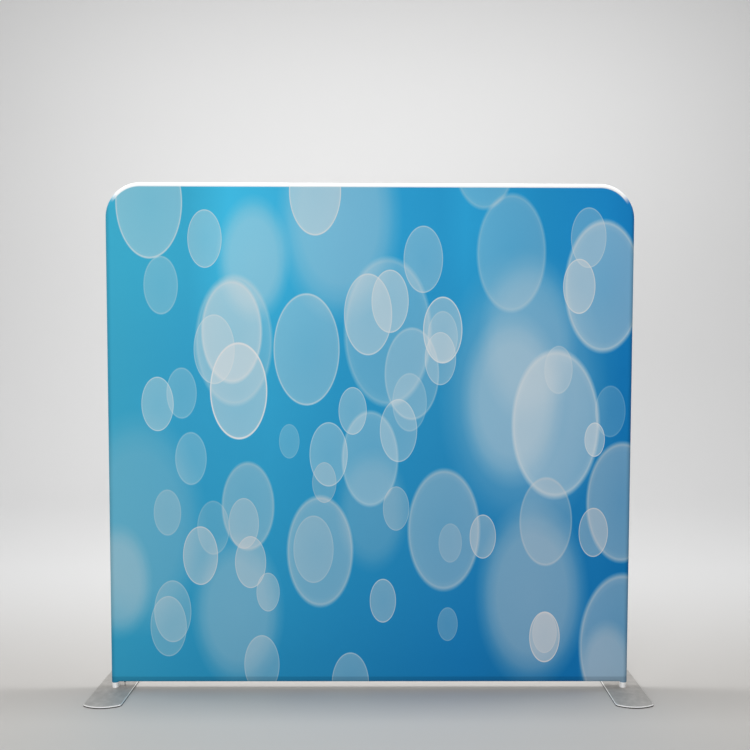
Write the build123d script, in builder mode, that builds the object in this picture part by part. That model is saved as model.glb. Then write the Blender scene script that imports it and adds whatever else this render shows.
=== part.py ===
from build123d import *
import os
from math import sqrt

# Tension-fabric partition wall: a slot-together tube frame inside a zipped stretch cover,
# standing on two flat steel feet. X runs along the wall, the printed face looks towards -Y,
# Z is up, and the origin is on the floor under the middle of the wall. All sizes in mm.

os.makedirs("parts", exist_ok=True)

# Overall sizes
wall_width = 2400.0
wall_height = 2300.0
ground_gap = 26.0
corner_radius = 160.0

# Frame tube, and the sleeves that join its lengths
tube_diameter = 32.0
tube_wall = 1.4
sleeve_clearance = 0.15
sleeve_wall = 1.5
sleeve_grip = 80.0
upright_split = 1180.0
bend_leg = 110.0
cope_gap = 0.5

# Snap buttons, their V springs, and the rivets that hold the sleeves
button_diameter = 7.0
button_clearance = 0.08
button_reach = 50.0
button_proud = 3.0
button_flange_diameter = 10.0
button_flange = 1.0
spring_width = 9.0
spring_thickness = 0.7
spring_length = 48.0
spring_pad = 6.0
spring_bend = 1.2
spring_gap = 0.05
rivet_diameter = 4.0
rivet_clearance = 0.05
rivet_reach = 45.0
rivet_head_diameter = 8.0
rivet_head = 1.2

# Stretch cover
cover_thickness = 0.7
cover_clearance = 0.9
seam_land = 0.5
opening_clearance = 0.5

# Zip along the cover's bottom edge
zip_gap = 10.0
zip_end_margin = 10.0
tape_width = 11.0
tape_thickness = 0.5
tape_tail = 4.0
stitch_gap = 0.05
chain_gap = 1.4
chain_width = 2.6
chain_thickness = 1.6
chain_inset = 5.0
stop_length = 3.0
slider_park = 16.0
slider_length = 12.0
slider_width = 8.9
slider_plate = 0.8
slider_lip = 0.8
slider_clearance = 0.3
rail_clearance = 0.5
wedge_width = 0.8
lug_thickness = 1.0
pull_bar_diameter = 1.6
pull_clearance = 0.05
pull_eye_diameter = 3.4
pull_eye_width = 3.6
pull_width = 6.5
pull_length = 18.0
pull_thickness = 1.2

# Feet
plate_length = 400.0
plate_width = 170.0
plate_thickness = 8.0
plate_bow = 24.0
plate_corner = 18.0
plate_chamfer = 3.0
shoulder_overlap = 5.7
lift_gap = 0.3
spigot_clearance = 0.08
spigot_length = 70.0
spigot_chamfer = 3.0
shoulder_chamfer = 0.8
screw_diameter = 10.0
screw_head_diameter = 19.0
screw_length = 28.0
screw_recess = 0.5
screw_clearance = 0.3
thread_clearance = 0.05
socket_across_flats = 6.0
socket_depth = 3.0

# Places that follow from the sizes
tube_radius = tube_diameter / 2
bore_radius = tube_radius - tube_wall
sleeve_radius = bore_radius - sleeve_clearance
sleeve_bore = sleeve_radius - sleeve_wall
half_depth = tube_radius + cover_clearance + cover_thickness
cover_bottom = plate_thickness + ground_gap
cover_top = cover_bottom + wall_height
upright_x = wall_width / 2 - half_depth
top_z = cover_top - half_depth
bend_radius = corner_radius - half_depth
bend_x = upright_x - bend_radius
bend_z = top_z - bend_radius
top_joint_x = bend_x - bend_leg
shoulder_z = bend_z - bend_leg
post_top = cover_bottom + shoulder_overlap
upright_bottom = post_top + lift_gap
stub_x = upright_x - tube_radius - cope_gap

# The zip's tapes follow the curve of the cover's bottom edge, and the slider's upper plate runs
# above them. The bottom rail clears that plate.
curl_z = cover_bottom + half_depth
tape_outer = half_depth - cover_thickness - stitch_gap
tape_inner = tape_outer - tape_thickness
plate_half = slider_width / 2
wing_low = curl_z - sqrt(tape_inner**2 - plate_half**2) + slider_clearance
bottom_z = wing_low + slider_plate + rail_clearance + tube_radius

# Every tube joint: where the two tubes meet, the way from the tube that holds the sleeve to the
# tube that slips over it, and the side that the button comes out of, away from the cover.
joints = {
    "left_upright": (Vector(-upright_x, 0, upright_split), Vector(0, 0, 1), Vector(1, 0, 0)),
    "right_upright": (Vector(upright_x, 0, upright_split), Vector(0, 0, 1), Vector(-1, 0, 0)),
    "left_shoulder": (Vector(-upright_x, 0, shoulder_z), Vector(0, 0, -1), Vector(1, 0, 0)),
    "right_shoulder": (Vector(upright_x, 0, shoulder_z), Vector(0, 0, -1), Vector(-1, 0, 0)),
    "left_top": (Vector(-top_joint_x, 0, top_z), Vector(1, 0, 0), Vector(0, 0, -1)),
    "right_top": (Vector(top_joint_x, 0, top_z), Vector(-1, 0, 0), Vector(0, 0, -1)),
    "centre_top": (Vector(0, 0, top_z), Vector(1, 0, 0), Vector(0, 0, -1)),
    "centre_bottom": (Vector(0, 0, bottom_z), Vector(1, 0, 0), Vector(0, 0, 1)),
    "left_bottom": (Vector(-stub_x, 0, bottom_z), Vector(1, 0, 0), Vector(0, 0, 1)),
    "right_bottom": (Vector(stub_x, 0, bottom_z), Vector(-1, 0, 0), Vector(0, 0, 1)),
}
stub_joints = ("left_bottom", "right_bottom")


def save(builder, name):
    builder.part.label = name
    export_step(builder.part, f"parts/{name}.step")


def tube_run(start, end, outer, inner):
    """A straight round tube from one point on its axis to another, added to the part being built."""
    with BuildSketch(Plane(origin=start, z_dir=end - start)) as ring:
        Circle(outer)
        Circle(inner, mode=Mode.SUBTRACT)
    extrude(ring.sketch, amount=(end - start).length)


def button_holes(*names):
    """The hole that each named joint's button comes out of, through one wall."""
    for name in names:
        seam, along, out = joints[name]
        with Locations(Plane(origin=seam + along * button_reach, z_dir=-out)):
            Hole(button_diameter / 2 + button_clearance, depth=tube_diameter)


def rivet_holes(*names):
    """The hole for each named joint's sleeve rivet, through one wall."""
    for name in names:
        seam, along, out = joints[name]
        with Locations(Plane(origin=seam - along * rivet_reach, z_dir=-out)):
            Hole(rivet_diameter / 2 + rivet_clearance, depth=tube_diameter)


# ---- Frame tubes ----
for side, way in (("left", -1), ("right", 1)):
    with BuildPart() as lower_upright:
        tube_run(
            Vector(way * upright_x, 0, upright_bottom),
            Vector(way * upright_x, 0, upright_split),
            tube_radius,
            bore_radius,
        )
        rivet_holes(f"{side}_upright")
    save(lower_upright, f"lower_upright_{side}")

    with BuildPart() as upper_upright:
        tube_run(
            Vector(way * upright_x, 0, upright_split),
            Vector(way * upright_x, 0, shoulder_z),
            tube_radius,
            bore_radius,
        )
        button_holes(f"{side}_upright", f"{side}_shoulder")
    save(upper_upright, f"upper_upright_{side}")

    # The top corner is one tube: a short leg down, a quarter bend and a short leg inwards.
    with BuildPart() as corner_bend:
        with BuildLine(Plane.XZ):
            Line((way * upright_x, shoulder_z), (way * upright_x, bend_z))
            RadiusArc(
                (way * upright_x, bend_z),
                (way * bend_x, top_z),
                -way * bend_radius,
            )
            Line((way * bend_x, top_z), (way * top_joint_x, top_z))
        with BuildSketch(Plane.XY.offset(shoulder_z)):
            with Locations((way * upright_x, 0)):
                Circle(tube_radius)
                Circle(bore_radius, mode=Mode.SUBTRACT)
        sweep()
        rivet_holes(f"{side}_shoulder", f"{side}_top")
    save(corner_bend, f"corner_bend_{side}")

    with BuildPart() as top_rail:
        tube_run(
            Vector(way * top_joint_x, 0, top_z), Vector(0, 0, top_z), tube_radius, bore_radius
        )
        button_holes(f"{side}_top")
        if side == "left":
            rivet_holes("centre_top")
        else:
            button_holes("centre_top")
    save(top_rail, f"top_rail_{side}")

    # The bottom rail's outer end is notched to sit round the upright.
    with BuildPart() as bottom_rail:
        tube_run(
            Vector(way * upright_x, 0, bottom_z), Vector(0, 0, bottom_z), tube_radius, bore_radius
        )
        with Locations((way * upright_x, 0, bottom_z)):
            Cylinder(tube_radius + cope_gap, 2 * tube_diameter, mode=Mode.SUBTRACT)
        button_holes(f"{side}_bottom")
        if side == "left":
            rivet_holes("centre_bottom")
        else:
            button_holes("centre_bottom")
    save(bottom_rail, f"bottom_rail_{side}")

    # A stub is welded to the upright, and the bottom rail slips over it.
    with BuildPart() as rail_stub:
        tube_run(
            Vector(way * upright_x, 0, bottom_z),
            Vector(way * (stub_x - sleeve_grip), 0, bottom_z),
            sleeve_radius,
            sleeve_bore,
        )
        with Locations((way * upright_x, 0, bottom_z)):
            Cylinder(tube_radius, 2 * tube_diameter, mode=Mode.SUBTRACT)
        button_holes(f"{side}_bottom")
    save(rail_stub, f"rail_stub_{side}")

# ---- Joint sleeves ----
for name, (seam, along, out) in joints.items():
    if name in stub_joints:
        continue
    with BuildPart() as sleeve:
        tube_run(
            seam - along * sleeve_grip, seam + along * sleeve_grip, sleeve_radius, sleeve_bore
        )
        rivet_holes(name)
        button_holes(name)
    save(sleeve, f"sleeve_{name}")

# ---- Blind rivets, one for each sleeve ----
with BuildPart() as sleeve_rivets:
    for name, (seam, along, out) in joints.items():
        if name in stub_joints:
            continue
        centre = seam - along * rivet_reach
        with BuildSketch(Plane(origin=centre + out * (sleeve_bore - rivet_head), z_dir=out)):
            Circle(rivet_diameter / 2)
        extrude(amount=tube_radius - sleeve_bore + 2 * rivet_head)
        with BuildSketch(Plane(origin=centre + out * tube_radius, z_dir=out)):
            Circle(rivet_head_diameter / 2)
        extrude(amount=rivet_head, taper=25)
save(sleeve_rivets, "sleeve_rivets")

# ---- Snap buttons ----
# The flange bears on the sleeve's bore and stops the button, and a press takes it below flush.
flange_radius = button_flange_diameter / 2
flange_top = sqrt(sleeve_bore**2 - flange_radius**2) - spring_gap
for name, (seam, along, out) in joints.items():
    centre = seam + along * button_reach
    with BuildPart() as snap_button:
        with BuildSketch(Plane(origin=centre + out * (flange_top - button_flange), z_dir=out)):
            Circle(flange_radius)
        extrude(amount=button_flange)
        with BuildSketch(Plane(origin=centre + out * flange_top, z_dir=out)):
            Circle(button_diameter / 2)
        extrude(amount=tube_radius + button_proud - flange_top)
        crown = snap_button.faces().sort_by(Axis(centre, out))[-1]
        fillet(crown.edges(), button_diameter / 4)
    save(snap_button, f"snap_button_{name}")

# ---- V springs behind the buttons ----
spring_high = flange_top - button_flange - spring_gap - spring_thickness / 2
spring_low = spring_gap + spring_thickness / 2 - sqrt(sleeve_bore**2 - (spring_width / 2) ** 2)
with BuildPart() as snap_springs:
    for name, (seam, along, out) in joints.items():
        centre = seam + along * button_reach
        with BuildSketch(Plane(origin=centre, x_dir=-along, z_dir=along.cross(out))) as strip:
            with BuildLine():
                FilletPolyline(
                    (-spring_pad, spring_high),
                    (spring_pad, spring_high),
                    (spring_length, spring_low),
                    (spring_pad, spring_low),
                    radius=spring_bend,
                )
                offset(amount=spring_thickness / 2)
            make_face()
        extrude(amount=spring_width / 2, both=True)
save(snap_springs, "snap_springs")

# ---- Stretch cover: a printed front panel and a plain back panel, seamed round the edge ----
roundover = half_depth - seam_land
zip_end_x = upright_x - tube_radius - zip_end_margin


def half_pillow(facing, inset):
    """The front or back half of the cover's form, drawn in by inset on every side but the seam."""
    deep = half_depth - inset
    middle = Plane(origin=(0, 0, 0), x_dir=(-facing, 0, 0), z_dir=(0, facing, 0))
    with BuildPart() as pillow:
        with BuildSketch(middle):
            with Locations((0, cover_bottom + wall_height / 2)):
                outline = Rectangle(wall_width - 2 * inset, wall_height - 2 * inset)
            fillet(outline.vertices().group_by(Axis.Y)[-1], corner_radius - inset)
        extrude(amount=deep)
        flats = pillow.faces().filter_by(Axis.Y).sort_by(lambda f: abs(f.center().Y))
        fillet(flats[-1].edges(), roundover - inset)
        # At the bottom corners the cloth keeps its wrap round the upright down to the edge.
        for way in (-1, 1):
            with BuildSketch(Plane.XY.offset(cover_bottom + inset)):
                with Locations((way * upright_x, facing * deep / 2)):
                    wrap = Rectangle(2 * deep, deep)
                fillet(wrap.vertices().sort_by(lambda v: abs(v.Y))[-2:], roundover - inset)
            extrude(amount=deep)
    return pillow.part


for name, facing in (("cover_front", -1), ("cover_back", 1)):
    with BuildPart() as panel:
        add(half_pillow(facing, 0))
        add(half_pillow(facing, cover_thickness), mode=Mode.SUBTRACT)
        # The feet's posts leave through round openings at the bottom corners.
        with Locations((-upright_x, 0, cover_bottom), (upright_x, 0, cover_bottom)):
            Cylinder(tube_radius + opening_clearance, half_depth, mode=Mode.SUBTRACT)
        # The zip's slot runs between them.
        with Locations((0, 0, cover_bottom)):
            Box(2 * zip_end_x, zip_gap, half_depth, mode=Mode.SUBTRACT)
    save(panel, name)

# ---- Zip ----
# The tapes are sewn inside the cover's edge, and the chain hangs under them.
chain_start = chain_gap / 2
chain_end = chain_start + chain_width
chain_top = curl_z - tape_outer - stitch_gap
chain_bottom = chain_top - chain_thickness
chain_x = zip_end_x - chain_inset
for name, facing in (("front", -1), ("back", 1)):
    with BuildPart() as zip_tape:
        with BuildSketch(Plane.YZ):
            with Locations((0, curl_z)):
                Circle(tape_outer)
                Circle(tape_inner, mode=Mode.SUBTRACT)
            with Locations((facing * (chain_start + tape_width / 2), curl_z - half_depth / 2)):
                Rectangle(tape_width, half_depth, mode=Mode.INTERSECT)
        extrude(amount=zip_end_x + tape_tail, both=True)
    save(zip_tape, f"zip_tape_{name}")

    with BuildPart() as zip_chain:
        with BuildSketch(Plane.YZ):
            with Locations(
                (facing * (chain_start + chain_width / 2), (chain_top + chain_bottom) / 2)
            ):
                RectangleRounded(chain_width, chain_thickness, chain_thickness / 4)
        extrude(amount=chain_x, both=True)
    save(zip_chain, f"zip_chain_{name}")

# Two stops end the chain where the slider is parked, and one across both halves ends the other.
with BuildPart() as zip_stops:
    stop_z = (chain_top + chain_bottom) / 2
    with Locations(
        (-chain_x - stop_length / 2, -(chain_start + chain_width / 2), stop_z),
        (-chain_x - stop_length / 2, chain_start + chain_width / 2, stop_z),
    ):
        Box(stop_length, chain_width, chain_thickness)
    with Locations((chain_x + stop_length / 2, 0, stop_z)):
        Box(stop_length, 2 * chain_end, chain_thickness)
    fillet(zip_stops.edges().filter_by(Axis.X).group_by(Axis.Z)[0], chain_thickness / 4)
save(zip_stops, "zip_stops")

# The slider's two plates run above the tapes and below the chain, joined by a wedge between them.
slider_x = -(zip_end_x - slider_park)
plate_low = chain_bottom - slider_clearance
lip_top = curl_z - sqrt(tape_outer**2 - chain_end**2) - slider_clearance
bar_z = plate_low - slider_plate - pull_eye_diameter / 2 - slider_clearance
with BuildPart() as zip_slider:
    with BuildSketch(Plane.XY.offset(plate_low - slider_plate)):
        with Locations((slider_x, 0)):
            RectangleRounded(slider_length, slider_width, slider_width / 3)
    extrude(amount=slider_plate)
    with BuildSketch(Plane.XY.offset(wing_low)):
        with Locations((slider_x, 0)):
            RectangleRounded(slider_length, slider_width, slider_width / 3)
    extrude(amount=slider_plate)
    with BuildSketch(Plane.XY.offset(plate_low)):
        with Locations((slider_x - slider_length / 4, 0)):
            Rectangle(slider_length / 4, wedge_width)
    extrude(amount=wing_low - plate_low)
    with BuildSketch(Plane.XY.offset(plate_low)):
        with Locations(
            (slider_x, -(plate_half - slider_lip / 2)), (slider_x, plate_half - slider_lip / 2)
        ):
            Rectangle(slider_length / 2, slider_lip)
    extrude(amount=lip_top - plate_low)
    # Two lugs and a cross bar carry the pull.
    lug_y = pull_eye_width / 2 + slider_clearance
    lug_reach = plate_low - bar_z
    for facing in (-1, 1):
        with BuildSketch(Plane.XZ.offset(-facing * lug_y)):
            with Locations((slider_x, bar_z)):
                Circle(pull_eye_diameter / 2)
            with Locations((slider_x, bar_z + lug_reach / 2)):
                Rectangle(pull_eye_diameter, lug_reach)
        extrude(amount=-facing * lug_thickness)
    with BuildSketch(Plane.XZ):
        with Locations((slider_x, bar_z)):
            Circle(pull_bar_diameter / 2)
    extrude(amount=lug_y + lug_thickness / 2, both=True)
save(zip_slider, "zip_slider")

with BuildPart() as zip_pull:
    with BuildSketch(Plane.XZ):
        with Locations((slider_x, bar_z)):
            Circle(pull_eye_diameter / 2)
        with Locations((slider_x, bar_z - pull_eye_diameter)):
            Rectangle(pull_thickness, 2 * pull_eye_diameter)
    extrude(amount=pull_eye_width / 2, both=True)
    with BuildSketch(Plane.YZ.offset(slider_x)):
        with Locations((0, bar_z - pull_eye_diameter - (pull_length - pull_eye_diameter) / 2)):
            RectangleRounded(pull_width, pull_length - pull_eye_diameter, pull_width / 4)
    extrude(amount=pull_thickness / 2, both=True)
    with BuildSketch(Plane.XZ):
        with Locations((slider_x, bar_z)):
            Circle(pull_bar_diameter / 2 + pull_clearance)
    extrude(amount=pull_width, both=True, mode=Mode.SUBTRACT)
save(zip_pull, "zip_pull")

# ---- Feet ----
for side, way in (("left", -1), ("right", 1)):
    foot_x = way * upright_x
    # A flat plate with bowed ends and a bright chamfer round its top edge.
    with BuildPart() as foot_plate:
        end_y = plate_length / 2 - plate_bow
        with BuildSketch():
            with BuildLine():
                near = SagittaArc(
                    (foot_x + plate_width / 2, -end_y), (foot_x - plate_width / 2, -end_y), plate_bow
                )
                far = SagittaArc(
                    (foot_x - plate_width / 2, end_y), (foot_x + plate_width / 2, end_y), plate_bow
                )
                Line(near @ 1, far @ 0)
                Line(far @ 1, near @ 0)
            make_face()
        extrude(amount=plate_thickness)
        fillet(foot_plate.edges().filter_by(Axis.Z), plate_corner)
        chamfer(foot_plate.faces().sort_by(Axis.Z)[-1].edges(), plate_chamfer)
        with Locations(Plane(origin=(foot_x, 0, 0), z_dir=(0, 0, -1))):
            CounterSinkHole(
                screw_diameter / 2 + screw_clearance,
                screw_head_diameter / 2 + screw_recess + screw_clearance,
                depth=plate_thickness,
            )
    save(foot_plate, f"foot_plate_{side}")

    # The post's polished shoulder carries the upright, and its spigot reaches up inside it.
    with BuildPart() as foot_post:
        with BuildSketch(Plane.XY.offset(plate_thickness)):
            with Locations((foot_x, 0)):
                Circle(tube_radius)
        extrude(amount=post_top - plate_thickness)
        chamfer(foot_post.edges().group_by(Axis.Z)[0], shoulder_chamfer)
        with BuildSketch(Plane.XY.offset(post_top)):
            with Locations((foot_x, 0)):
                Circle(bore_radius - spigot_clearance)
        extrude(amount=spigot_length)
        chamfer(foot_post.edges().group_by(Axis.Z)[-1], spigot_chamfer)
        with BuildSketch(Plane.XY.offset(plate_thickness)):
            with Locations((foot_x, 0)):
                Circle(screw_diameter / 2 + thread_clearance)
        extrude(amount=screw_length, mode=Mode.SUBTRACT)
    save(foot_post, f"foot_post_{side}")

    # A countersunk screw from below holds the post to the plate.
    with BuildPart() as foot_screw:
        head_height = (screw_head_diameter - screw_diameter) / 2
        with BuildSketch(Plane.XZ):
            with BuildLine():
                Polyline(
                    (foot_x, screw_recess),
                    (foot_x + screw_head_diameter / 2, screw_recess),
                    (foot_x + screw_diameter / 2, screw_recess + head_height),
                    (foot_x + screw_diameter / 2, screw_length),
                    (foot_x, screw_length),
                    close=True,
                )
            make_face()
        revolve(axis=Axis((foot_x, 0, 0), (0, 0, 1)))
        with BuildSketch(Plane.XY.offset(screw_recess)):
            with Locations((foot_x, 0)):
                RegularPolygon(socket_across_flats / 2, 6, major_radius=False)
        extrude(amount=socket_depth, mode=Mode.SUBTRACT)
    save(foot_screw, f"foot_screw_{side}")
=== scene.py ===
from math import asin, cos, pi, radians, sin, sqrt

import bmesh
import bpy
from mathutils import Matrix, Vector


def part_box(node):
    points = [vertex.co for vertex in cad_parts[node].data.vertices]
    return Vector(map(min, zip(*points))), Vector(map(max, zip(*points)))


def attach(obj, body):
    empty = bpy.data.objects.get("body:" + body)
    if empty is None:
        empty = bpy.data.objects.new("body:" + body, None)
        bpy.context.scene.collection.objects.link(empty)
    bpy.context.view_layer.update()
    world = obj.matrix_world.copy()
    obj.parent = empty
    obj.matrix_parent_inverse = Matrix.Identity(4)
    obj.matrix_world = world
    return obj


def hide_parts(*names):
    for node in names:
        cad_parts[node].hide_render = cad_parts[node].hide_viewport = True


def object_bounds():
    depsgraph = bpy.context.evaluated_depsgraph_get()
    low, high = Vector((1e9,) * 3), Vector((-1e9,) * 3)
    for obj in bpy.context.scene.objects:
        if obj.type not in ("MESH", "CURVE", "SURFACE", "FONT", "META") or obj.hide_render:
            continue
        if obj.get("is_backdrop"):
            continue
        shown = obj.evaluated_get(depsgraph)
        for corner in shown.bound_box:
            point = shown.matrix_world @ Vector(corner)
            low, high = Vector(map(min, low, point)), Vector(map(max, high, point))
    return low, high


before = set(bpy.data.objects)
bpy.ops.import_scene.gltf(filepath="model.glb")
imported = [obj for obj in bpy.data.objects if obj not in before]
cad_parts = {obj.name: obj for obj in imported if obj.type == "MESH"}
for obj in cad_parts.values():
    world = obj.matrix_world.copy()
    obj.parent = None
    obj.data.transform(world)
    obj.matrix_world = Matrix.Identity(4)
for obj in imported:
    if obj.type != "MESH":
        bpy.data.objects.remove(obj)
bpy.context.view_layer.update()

sides = ("left", "right")

# ---- Foot plates ----
# Each foot is an 8 mm mild steel plate, laser cut with bowed ends, blasted and lacquered silver.
# The chamfer round its top edge is machined and carries a painted highlight. The cut face below it
# is
# painted near black: painted shade together with the laser's dark scale.


def linear(code):
    """An sRGB hex colour, such as #8a8c8e, as the linear colour that a shader takes."""
    parts = [int(code[i : i + 2], 16) / 255 for i in (1, 3, 5)]
    return [c / 12.92 if c <= 0.04045 else ((c + 0.055) / 1.055) ** 2.4 for c in parts] + [1]


def add(tree, kind, inputs=None, stops=(), **settings):
    """Adds a node. An input is given a value, or another node's output to link to. Stops are the
    places and hex colours of a colour ramp, in order."""
    made = tree.nodes.new(kind)
    for name, value in settings.items():
        setattr(made, name, value)
    for number, (at, code) in enumerate(stops):
        band = made.color_ramp.elements
        stop = band[number] if number < 2 else band.new(at)
        stop.position = at
        stop.color = linear(code)
    for key, value in (inputs or {}).items():
        if isinstance(value, bpy.types.NodeSocket):
            tree.links.new(value, made.inputs[key])
        else:
            made.inputs[key].default_value = value
    return made


def new_finish(name, **values):
    """A material with its shader's plain values set. Returns the material, its tree and shader."""
    made = bpy.data.materials.new(name)
    made.use_nodes = True
    shader = made.node_tree.nodes["Principled BSDF"]
    for key, value in values.items():
        shader.inputs[key.replace("_", " ")].default_value = value
    return made, made.node_tree, shader


def coat(nodes, finish):
    """Puts a finish on CAD nodes whose shape is kept."""
    for name in nodes:
        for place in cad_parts[name].material_slots:
            place.material = finish


# Silver lacquer over blasted steel: a soft neutral grey, half metal and half paint, mottled in
# patches about 25 mm across. The chamfer carries a painted highlight, a near white line, and the
# cut face under it is painted shade, nearly black, together with the laser's dark scale.
plate_silver, tree, shader = new_finish("silver_lacquered_steel", Metallic=0.25)
place = add(tree, "ShaderNodeTexCoord")
mottle = add(
    tree,
    "ShaderNodeTexNoise",
    {"Vector": place.outputs["Object"], "Scale": 1 / 0.025, "Detail": 6.0},
)
patches = add(
    tree,
    "ShaderNodeValToRGB",
    {"Fac": mottle.outputs["Fac"]},
    stops=[(0.3, "#a9a6a2"), (0.5, "#b1aeaa"), (0.7, "#bab7b3")],
)
facing_up = add(tree, "ShaderNodeSeparateXYZ", {"Vector": place.outputs["Normal"]})
# Painted highlight: faces tilted halfway up, which is the chamfer, get a near white colour.
chamfer_painted_highlight = add(
    tree,
    "ShaderNodeValToRGB",
    {"Fac": facing_up.outputs["Z"]},
    stops=[(0.45, "#000000"), (0.55, "#ffffff"), (0.85, "#ffffff"), (0.93, "#000000")],
)
face_colour = add(
    tree,
    "ShaderNodeMix",
    {"Factor": chamfer_painted_highlight.outputs["Color"], "A": patches.outputs["Color"], "B": linear("#f6f6f4")},
    data_type="RGBA",
)
flatness = add(tree, "ShaderNodeMath", {0: facing_up.outputs["Z"]}, operation="ABSOLUTE")
clear_of_painted_side_shade = add(
    tree,
    "ShaderNodeMapRange",
    {"Value": flatness.outputs["Value"], "From Min": 0.3, "From Max": 0.5},
)
# Painted shade: faces turned sideways, which are the plate's cut sides, are darkened to near black.
face_colour = add(
    tree,
    "ShaderNodeMix",
    {
        "Factor": clear_of_painted_side_shade.outputs["Result"],
        "A": linear("#3c3b3a"),
        "B": face_colour.outputs["Result"],
    },
    data_type="RGBA",
)
tree.links.new(face_colour.outputs["Result"], shader.inputs["Base Color"])
face_gloss = add(
    tree,
    "ShaderNodeMapRange",
    {"Value": chamfer_painted_highlight.outputs["Color"], "To Min": 0.55, "To Max": 0.3},
)
tree.links.new(face_gloss.outputs["Result"], shader.inputs["Roughness"])
# Blasting grit is about 0.5 mm, drawn at 2 mm so that it shows.
grit = add(
    tree,
    "ShaderNodeTexNoise",
    {"Vector": place.outputs["Object"], "Scale": 1 / 0.002, "Detail": 2.0},
)
dents = add(
    tree,
    "ShaderNodeBump",
    {"Height": grit.outputs["Fac"], "Strength": 0.25, "Distance": 0.0002},
)
tree.links.new(dents.outputs["Normal"], shader.inputs["Normal"])
coat([f"foot_plate_{side}" for side in sides], plate_silver)

# ---- Foot posts and their screws ----
# A post is turned from steel bar, polished and chrome plated. A zinc plated countersunk screw
# draws it down on the plate from below.

# Satin chrome that spreads the light a little, with turning rings 0.3 mm apart, drawn at 2 mm.
# Its near white colour, only partly metal, is a painted highlight standing in for the chrome's
# bright reflections. A wave texture of scale 1 repeats every pi / 10 metres.
wave = pi / 10
painted_bright_chrome, tree, shader = new_finish("satin_chrome_painted_highlight", Metallic=0.3, Roughness=0.3)
place = add(tree, "ShaderNodeTexCoord")
rings = add(
    tree,
    "ShaderNodeTexWave",
    {"Vector": place.outputs["Object"], "Scale": wave / 0.002, "Distortion": 0.4},
    bands_direction="Z",
)
tree.links.new(
    add(
        tree,
        "ShaderNodeValToRGB",
        {"Fac": rings.outputs["Fac"]},
        stops=[(0.0, "#f6f6f6"), (1.0, "#fbfbfb")],
    ).outputs["Color"],
    shader.inputs["Base Color"],
)
tree.links.new(
    add(
        tree, "ShaderNodeBump", {"Height": rings.outputs["Fac"], "Strength": 0.02, "Distance": 1e-4}
    ).outputs["Normal"],
    shader.inputs["Normal"],
)
coat([f"foot_post_{side}" for side in sides], painted_bright_chrome)

# Zinc plate: a slightly blue, patchy silver, duller than chrome.
screw_zinc, tree, shader = new_finish("zinc_plated_steel", Metallic=1.0, Roughness=0.35)
place = add(tree, "ShaderNodeTexCoord")
bloom = add(
    tree,
    "ShaderNodeTexNoise",
    {"Vector": place.outputs["Object"], "Scale": 1 / 0.004, "Detail": 4.0},
)
tree.links.new(
    add(
        tree,
        "ShaderNodeValToRGB",
        {"Fac": bloom.outputs["Fac"]},
        stops=[(0.35, "#a9adb3"), (0.65, "#c6c9cc")],
    ).outputs["Color"],
    shader.inputs["Base Color"],
)
tree.links.new(
    add(
        tree,
        "ShaderNodeMapRange",
        {"Value": bloom.outputs["Fac"], "To Min": 0.25, "To Max": 0.45},
    ).outputs["Result"],
    shader.inputs["Roughness"],
)
coat([f"foot_screw_{side}" for side in sides], screw_zinc)

# ---- Frame tubes ----
# The frame is 32 mm extruded aluminium tube, cut to length and clear anodised. The top corners
# are the same tube bent round a former, and the stubs are welded to the uprights.


def anodised_tube(name, stretch):
    """Clear anodised aluminium. Its die lines, drawn 2 mm apart, run where stretch is small."""
    made, tree, shader = new_finish(name, Metallic=1.0, Roughness=0.32)
    place = add(tree, "ShaderNodeTexCoord")
    along = add(tree, "ShaderNodeMapping", {"Vector": place.outputs["Object"], "Scale": stretch})
    lines = add(
        tree,
        "ShaderNodeTexNoise",
        {"Vector": along.outputs["Vector"], "Scale": 1 / 0.002, "Detail": 3.0},
    )
    tree.links.new(
        add(
            tree,
            "ShaderNodeValToRGB",
            {"Fac": lines.outputs["Fac"]},
            stops=[(0.3, "#b2b4b7"), (0.7, "#cfd0d2")],
        ).outputs["Color"],
        shader.inputs["Base Color"],
    )
    tree.links.new(
        add(
            tree,
            "ShaderNodeMapRange",
            {"Value": lines.outputs["Fac"], "To Min": 0.26, "To Max": 0.4},
        ).outputs["Result"],
        shader.inputs["Roughness"],
    )
    tree.links.new(
        add(
            tree,
            "ShaderNodeBump",
            {"Height": lines.outputs["Fac"], "Strength": 0.15, "Distance": 1e-4},
        ).outputs["Normal"],
        shader.inputs["Normal"],
    )
    return made


upright_tube = anodised_tube("anodised_tube_upright", (1, 1, 0.01))
rail_tube = anodised_tube("anodised_tube_rail", (0.01, 1, 1))
bent_tube = anodised_tube("anodised_tube_bent", (0.3, 1, 0.3))
coat([f"{part}_upright_{side}" for part in ("lower", "upper") for side in sides], upright_tube)
rails = ("top_rail", "bottom_rail", "rail_stub")
coat([f"{part}_{side}" for part in rails for side in sides], rail_tube)
coat([f"corner_bend_{side}" for side in sides], bent_tube)

# ---- Joint sleeves, rivets, snap buttons and their springs ----
# A sleeve is a shorter aluminium tube riveted inside one frame tube. The next tube slips over it
# until a plated steel button, pushed out by a V of blued spring steel, snaps into its hole.
upright_sleeves = [f"sleeve_{side}_{at}" for side in sides for at in ("upright", "shoulder")]
rail_sleeves = ["sleeve_left_top", "sleeve_right_top", "sleeve_centre_top", "sleeve_centre_bottom"]


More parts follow.
